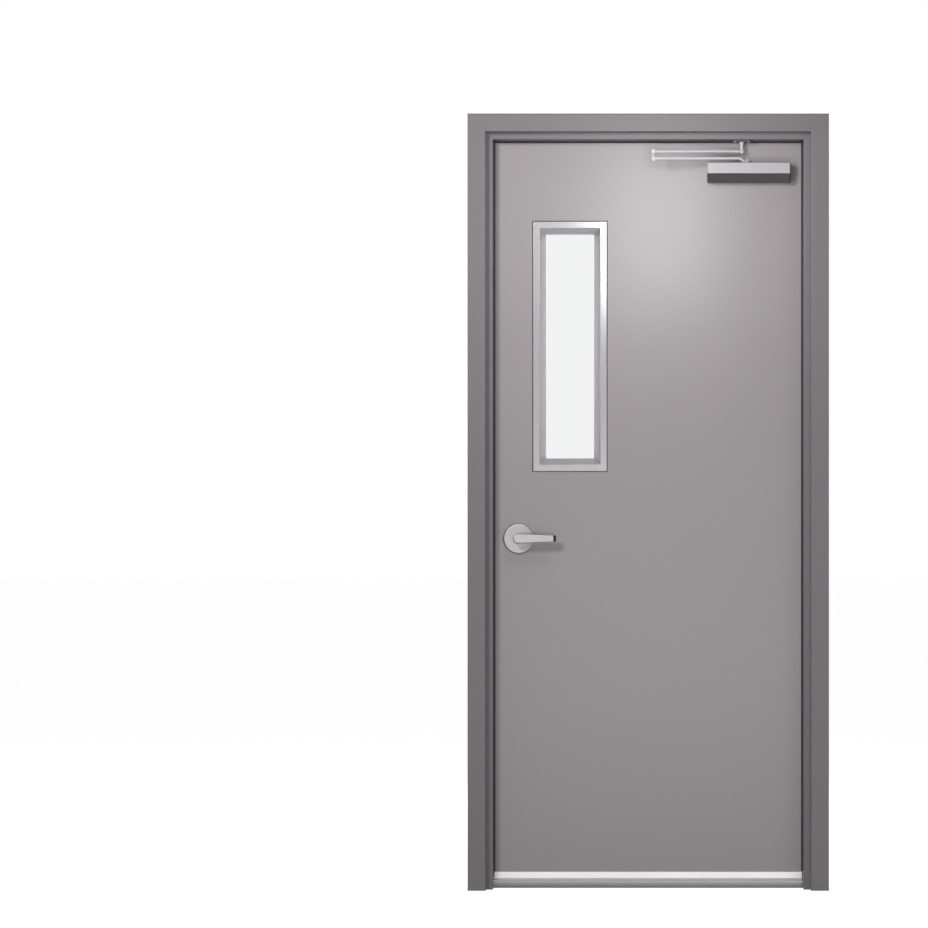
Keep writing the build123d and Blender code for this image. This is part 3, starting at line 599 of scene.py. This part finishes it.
def sagging(mesh, pivot):
    """Lowers a mesh by nothing at its pivot and by the whole sag at the elbow."""
    run = ELBOW.xy - pivot.xy
    for vertex in mesh.vertices:
        share = (vertex.co.xy - pivot.xy).dot(run) / run.length_squared
        vertex.co.z -= SAG * min(max(share, 0.0), 1.0)
    return mesh


for node_name, pivot in (("main_arm", main_arm_pivot), ("forearm", forearm_pivot)):
    place_piece(node_name + "_eased", sagging(eased_copy(node_name, 0.7), pivot), "closer_paint",
                node_name, [node_name])


# Turned details: the elbow's waisted sleeve, the shoe's trumpet post and the hinge pins' button tips
def upright(name, x, y, profile, slot_name, body):
    """A turned piece on a vertical axis, from (radius, height) pairs in mm."""
    mesh = turned(name, (x, y, 0), (0, 0, 1), profile, count=48)
    return place_piece(name, shaded(mesh, 40), slot_name, body)


waist = 3.3
sleeve_foot = (arm_high.z - SAG) * 1000 - 10.4
sleeve_head = (arm_high.z - SAG) * 1000 - 0.2
upright("elbow_sleeve", ELBOW.x, ELBOW.y,
        [(6.6, sleeve_foot), (5.2, sleeve_foot + 0.8), (4.0, sleeve_foot + 2.4),
         (waist, sleeve_foot + 4.2), (waist, sleeve_head - 2.2), (4.2, sleeve_head - 0.9),
         (5.6, sleeve_head)],
        "closer_paint", "main_arm")
pin_foot = (ARM_END_FOOT - SAG) * 1000
upright("elbow_pin_foot", ELBOW.x, ELBOW.y,
        [(2.2, pin_foot), (5.4, pin_foot + 0.3), (6.2, pin_foot + 1.2), (5.0, pin_foot + 3.0)],
        "closer_paint", "main_arm")
pin_top = (forearm_high.z - SAG) * 1000
upright("elbow_pin_head", ELBOW.x, ELBOW.y,
        [(5.0, pin_top - 2.9), (6.2, pin_top - 1.2), (5.4, pin_top - 0.3), (2.2, pin_top)],
        "closer_paint", "forearm")
post_foot = forearm_high.z * 1000 + 1.2
post_head = shoe_high.z * 1000 - 4.6
upright("shoe_post_flare", forearm_pivot.x, forearm_pivot.y,
        [(3.9, post_foot), (4.0, post_foot + 6.0), (4.6, post_foot + 11.0), (6.0, post_head - 2.4),
         (8.4, post_head)], "closer_paint", "frame")
KNUCKLE_RADIUS = 0.007
for level in ("bottom", "middle", "top"):
    leaf_low, leaf_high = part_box(level + "_hinge_frame_leaf")
    pin_x = (leaf_low.x + leaf_high.x) / 2
    pin_y = leaf_high.y - KNUCKLE_RADIUS
    for end, height, way in (("foot", leaf_low.z, -1), ("head", leaf_high.z, 1)):
        z = height * 1000
        button = [(radius, z + way * rise) for radius, rise in
                  ((6.5, -0.3), (6.5, 0.5), (6.0, 1.5), (4.6, 2.3), (2.4, 2.7), (0.4, 2.8))]
        upright("%s_hinge_pin_%s" % (level, end), pin_x, pin_y, button, "satin_steel", "frame")


# Screws by Geometry Nodes

def screw_tree():
    """Heads on points: an oval head with a cross recess, turned to each point's normal."""
    tree = bpy.data.node_groups.new("cross_recess_screws", "GeometryNodeTree")
    for name, kind in (("Geometry", "NodeSocketGeometry"), ("Head Radius", "NodeSocketFloat"),
                       ("Head Height", "NodeSocketFloat"), ("Recess Width", "NodeSocketFloat"),
                       ("Metal", "NodeSocketMaterial")):
        tree.interface.new_socket(name, in_out="INPUT", socket_type=kind)
    tree.interface.new_socket("Geometry", in_out="OUTPUT", socket_type="NodeSocketGeometry")
    given = add(tree, "NodeGroupInput").outputs
    ball = add(tree, "GeometryNodeMeshUVSphere", inputs={"Segments": 24, "Rings": 12, "Radius": 1.0})
    scale = add(tree, "ShaderNodeCombineXYZ", inputs={
        "X": given["Head Radius"], "Y": given["Head Radius"], "Z": given["Head Height"]})
    dome = add(tree, "GeometryNodeTransform", inputs={
        "Geometry": ball.outputs["Mesh"], "Scale": scale.outputs["Vector"]})
    long_side = add(tree, "ShaderNodeMath", {"operation": "MULTIPLY"},
                    {0: given["Head Radius"], 1: 1.1})
    deep = add(tree, "ShaderNodeMath", {"operation": "MULTIPLY"}, {0: given["Head Height"], 1: 1.5})
    bar_size = add(tree, "ShaderNodeCombineXYZ", inputs={
        "X": long_side.outputs[0], "Y": given["Recess Width"], "Z": deep.outputs[0]})
    bar = add(tree, "GeometryNodeMeshCube", inputs={"Size": bar_size.outputs["Vector"]})
    lift = add(tree, "ShaderNodeCombineXYZ", inputs={"X": 0.0, "Y": 0.0, "Z": given["Head Height"]})
    first = add(tree, "GeometryNodeTransform", inputs={
        "Geometry": bar.outputs["Mesh"], "Translation": lift.outputs["Vector"]})
    second = add(tree, "GeometryNodeTransform", inputs={
        "Geometry": first.outputs["Geometry"], "Rotation": (0, 0, math.pi / 2)})
    cut = add(tree, "GeometryNodeMeshBoolean", {"operation": "DIFFERENCE"},
              {"Mesh 1": dome.outputs["Geometry"]})
    tree.links.new(first.outputs["Geometry"], cut.inputs["Mesh 2"])
    tree.links.new(second.outputs["Geometry"], cut.inputs["Mesh 2"])
    normal = add(tree, "GeometryNodeInputNormal")
    spin = add(tree, "FunctionNodeRandomValue", {"data_type": "FLOAT"})
    spin.inputs["Seed"].default_value = 4
    spin.inputs[2].default_value = 0.0
    spin.inputs[3].default_value = math.pi / 2
    facing = add(tree, "FunctionNodeAlignRotationToVector", {"axis": "Z"},
                 {"Vector": normal.outputs["Normal"]})
    about = add(tree, "ShaderNodeCombineXYZ", inputs={"X": 0.0, "Y": 0.0, "Z": spin.outputs[1]})
    turned_round = add(tree, "FunctionNodeRotateRotation", {"rotation_space": "LOCAL"},
                       {"Rotation": facing.outputs["Rotation"], "Rotate By": about.outputs["Vector"]})
    placed = add(tree, "GeometryNodeInstanceOnPoints", inputs={
        "Points": given["Geometry"], "Instance": cut.outputs["Mesh"],
        "Rotation": turned_round.outputs["Rotation"]})
    real = add(tree, "GeometryNodeRealizeInstances", inputs={"Geometry": placed.outputs["Instances"]})
    dressed = add(tree, "GeometryNodeSetMaterial", inputs={
        "Geometry": real.outputs["Geometry"], "Material": given["Metal"]})
    add(tree, "NodeGroupOutput", inputs={"Geometry": dressed.outputs["Geometry"]})
    return tree


screws = screw_tree()


def screw_piece(name, body, places, head, slot_name):
    """Screws at (point, outward direction) places on one body, as one plain mesh."""
    work = bmesh.new()
    for point, out in places:
        turn = Vector((0, 0, 1)).rotation_difference(Vector(out)).to_matrix()
        corners = [turn @ Vector(c) * 1e-5 + Vector(point)
                   for c in ((1, 0, 0), (-0.5, 0.87, 0), (-0.5, -0.87, 0))]
        work.faces.new([work.verts.new(c) for c in corners])
    seed = bpy.data.meshes.new(name + "_seed")
    work.to_mesh(seed)
    work.free()
    holder = bpy.data.objects.new(name + "_seed", seed)
    scene.collection.objects.link(holder)
    modifier = holder.modifiers.new("screws", "NODES")
    modifier.node_group = screws
    radius, height, recess = HEADS[head]
    given = {"Head Radius": radius / 1000, "Head Height": height / 1000,
             "Recess Width": recess / 1000, "Metal": finishes[slot_name]}
    for item in screws.interface.items_tree:
        if item.in_out == "INPUT" and item.name in given:
            modifier[item.identifier] = given[item.name]
    evaluated = holder.evaluated_get(bpy.context.evaluated_depsgraph_get())
    mesh = bpy.data.meshes.new_from_object(evaluated)
    bpy.data.objects.remove(holder)
    return place_piece(name, shaded(mesh, 30), slot_name, body)


def evenly(low, high, count):
    """Evenly spaced places between two, ends included."""
    return [low + (high - low) * i / (count - 1) for i in range(count)]


# Screw heads: radius, height and width of the recess in mm
HEADS = {"hinge": (5.2, 0.5, 1.5), "strike": (4.4, 0.5, 1.3), "faceplate": (3.2, 0.5, 1.0),
         "trim": (3.4, 0.8, 1.0), "shoe": (4.2, 1.2, 1.2), "valve": (3.0, 0.6, 0.9)}
# The faces of the hinges' plates, and the four holes' heights from their middle and depths
FRAME_PLATE_X = 0.4572
DOOR_PLATE_X = 0.4540
HINGE_HOLES = ((-0.0445, 0.0060), (-0.0160, -0.0070), (0.0160, -0.0070), (0.0445, 0.0060))
hinge_screws = {"frame": [], "door_leaf": []}
for level in ("bottom", "middle", "top"):
    frame_low, frame_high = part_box(level + "_hinge_frame_leaf")
    middle = (frame_low.z + frame_high.z) / 2
    for rise, y in HINGE_HOLES:
        hinge_screws["frame"].append(((FRAME_PLATE_X, y, middle + rise), (-1, 0, 0)))
        hinge_screws["door_leaf"].append(((DOOR_PLATE_X, y, middle + rise), (1, 0, 0)))
for body, places in hinge_screws.items():
    screw_piece(body + "_hinge_screws", body, places, "hinge", "satin_steel")

plate_low, plate_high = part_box("strike_plate")
strike_inset = 0.0095
screw_piece("strike_screws", "frame",
            [((plate_high.x, 0.0, z), (1, 0, 0))
             for z in (plate_low.z + strike_inset, plate_high.z - strike_inset)],
            "strike", "satin_steel")

# The faceplate lies on the leaf's bevelled lock edge: half its lean in at mid thickness
face_low, face_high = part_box("lock_faceplate")
face_x, edge_lean, face_inset = face_low.x + 0.00045, 0.031, 0.0065
screw_piece("faceplate_screws", "door_leaf",
            [((face_x, 0.0, z), (-1, edge_lean, 0))
             for z in (face_low.z + face_inset, face_high.z - face_inset)],
            "faceplate", "satin_steel")

trim_low, trim_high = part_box("lite_frame_pull")
trim_inset, corner_inset = 0.0095, 0.04
trim_places = [((x, trim_high.y, z), (0, 1, 0))
               for x in (trim_low.x + trim_inset, trim_high.x - trim_inset)
               for z in evenly(trim_low.z + corner_inset, trim_high.z - corner_inset, 4)]
trim_places += [(((trim_low.x + trim_high.x) / 2, trim_high.y, z), (0, 1, 0))
                for z in (trim_low.z + trim_inset, trim_high.z - trim_inset)]
screw_piece("trim_screws", "door_leaf", trim_places, "trim", "satin_steel")

shoe_inset, shoe_plate = 0.008, 0.0045
screw_piece("shoe_screws", "frame",
            [((x, y, shoe_high.z - shoe_plate), (0, 0, -1))
             for x in (shoe_low.x + shoe_inset, shoe_high.x - shoe_inset)
             for y in (shoe_low.y + shoe_inset, shoe_high.y - shoe_inset)],
            "shoe", "closer_paint")

# The closer's two valve screws, one over the other in its hinge end
cover_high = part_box("closer_body")[1]
valve_y, valve_drops = -0.036, (0.014, 0.026)
screw_piece("closer_valve_screws", "door_leaf",
            [((cover_high.x, valve_y, cover_high.z - drop), (1, 0, 0)) for drop in valve_drops],
            "valve", "satin_steel")


# The studio: a pale floor, soft lamps and a white surround

FLOOR_GLOW = 0.90
WORLD_SOFT = 0.19
WORLD_WHITE = 1.0


def seen_directly(tree):
    """One for the rays that see a surface: from the camera, mirrored, or through glass."""
    path = add(tree, "ShaderNodeLightPath").outputs
    seen = add(tree, "ShaderNodeMath", {"operation": "MAXIMUM"},
               {0: path["Is Camera Ray"], 1: path["Is Glossy Ray"]})
    return add(tree, "ShaderNodeMath", {"operation": "MAXIMUM"},
               {0: seen.outputs[0], 1: path["Is Transmission Ray"]}).outputs[0]


def studio_floor():
    mesh = bpy.data.meshes.new("studio_floor")
    half = 60.0
    mesh.from_pydata([(-half, -half, 0), (half, -half, 0), (half, half, 0), (-half, half, 0)], [],
                     [(0, 1, 2, 3)])
    floor = bpy.data.objects.new("studio_floor", mesh)
    scene.collection.objects.link(floor)
    material, tree = new_material("pale_studio_floor")
    matt = add(tree, "ShaderNodeBsdfDiffuse", inputs={"Color": colour("B8B8B8")})
    glow = add(tree, "ShaderNodeEmission", inputs={
        "Color": colour("FFFFFF"), "Strength": FLOOR_GLOW})
    both = add(tree, "ShaderNodeAddShader", inputs={0: matt.outputs[0], 1: glow.outputs[0]})
    mix = add(tree, "ShaderNodeMixShader", inputs={
        0: seen_directly(tree), 1: matt.outputs[0], 2: both.outputs[0]})
    finish_with(tree, mix.outputs[0])
    mesh.materials.append(material)


def studio_world():
    world = bpy.data.worlds.new("studio_world")
    scene.world = world
    world.use_nodes = True
    tree = world.node_tree
    tree.nodes.clear()
    soft = add(tree, "ShaderNodeBackground", inputs={
        "Color": colour("F4F6FA"), "Strength": WORLD_SOFT})
    white = add(tree, "ShaderNodeBackground", inputs={
        "Color": colour("FFFFFF"), "Strength": WORLD_WHITE})
    mix = add(tree, "ShaderNodeMixShader", inputs={
        0: seen_directly(tree), 1: soft.outputs[0], 2: white.outputs[0]})
    add(tree, "ShaderNodeOutputWorld", inputs={"Surface": mix.outputs[0]})


def soft_lamp(name, place, aim, size, watts):
    """A soft box at a place, turned to what it lights. Its size is width and height in metres."""
    data = bpy.data.lights.new(name, "AREA")
    data.shape = "RECTANGLE"
    data.size, data.size_y = size
    data.energy = watts
    lamp = bpy.data.objects.new(name, data)
    scene.collection.objects.link(lamp)
    lamp.location = place
    lamp.rotation_euler = (Vector(aim) - Vector(place)).to_track_quat("-Z", "Y").to_euler()
    lamp.visible_camera = False


studio_floor()
studio_world()
# The key lights the door from the upper left, the glow makes the leaf's bright middle, the fills
# lift the frame and the sill, and the rest light the back and the edges
soft_lamp("key_from_the_left", (-1.6, -4.2, 2.75), (0, 0, 1.1), (0.7, 0.7), 90)
soft_lamp("glow_on_the_leaf", (0.03, -0.95, 1.95), (0.03, 0, 1.85), (0.3, 0.5), 4.9)
soft_lamp("fill_from_the_right", (3.0, -4.2, 0.5), (0, 0, 0.4), (1.6, 1.0), 24)
soft_lamp("low_front_fill", (0.2, -4.6, 0.5), (0, 0, 0.5), (1.6, 0.5), 21)
soft_lamp("light_behind", (0.8, 4.5, 2.6), (0, 0, 1.1), (2.0, 2.0), 150)
for side_x in (-4.6, 4.6):
    soft_lamp("light_at_the_side", (side_x, 0.9, 1.8), (0, 0.2, 1.1), (1.5, 1.5), 70)

# Camera: level, square to the door, 12.5 m from the frame's push face
EYE_HEIGHT = 1.05
DISTANCE = 12.5
SENSOR_MM = 36.0
view_width = PICTURE * PIXEL_MM / 1000
camera_data = bpy.data.cameras.new("photo_camera")
camera_data.sensor_width = SENSOR_MM
camera_data.lens = SENSOR_MM * DISTANCE / view_width
camera_data.shift_x = -(CENTRE_PIXEL - PICTURE / 2) / PICTURE
camera_data.shift_y = (FLOOR_PIXEL - EYE_HEIGHT * 1000 / PIXEL_MM - PICTURE / 2) / PICTURE
camera_data.clip_end = 200.0
camera = bpy.data.objects.new("photo_camera", camera_data)
scene.collection.objects.link(camera)
camera.location = (0.0, cad_box[0][1] - DISTANCE, EYE_HEIGHT)
camera.rotation_euler = (math.pi / 2, 0.0, 0.0)
scene.camera = camera
scene.view_settings.view_transform = "Standard"
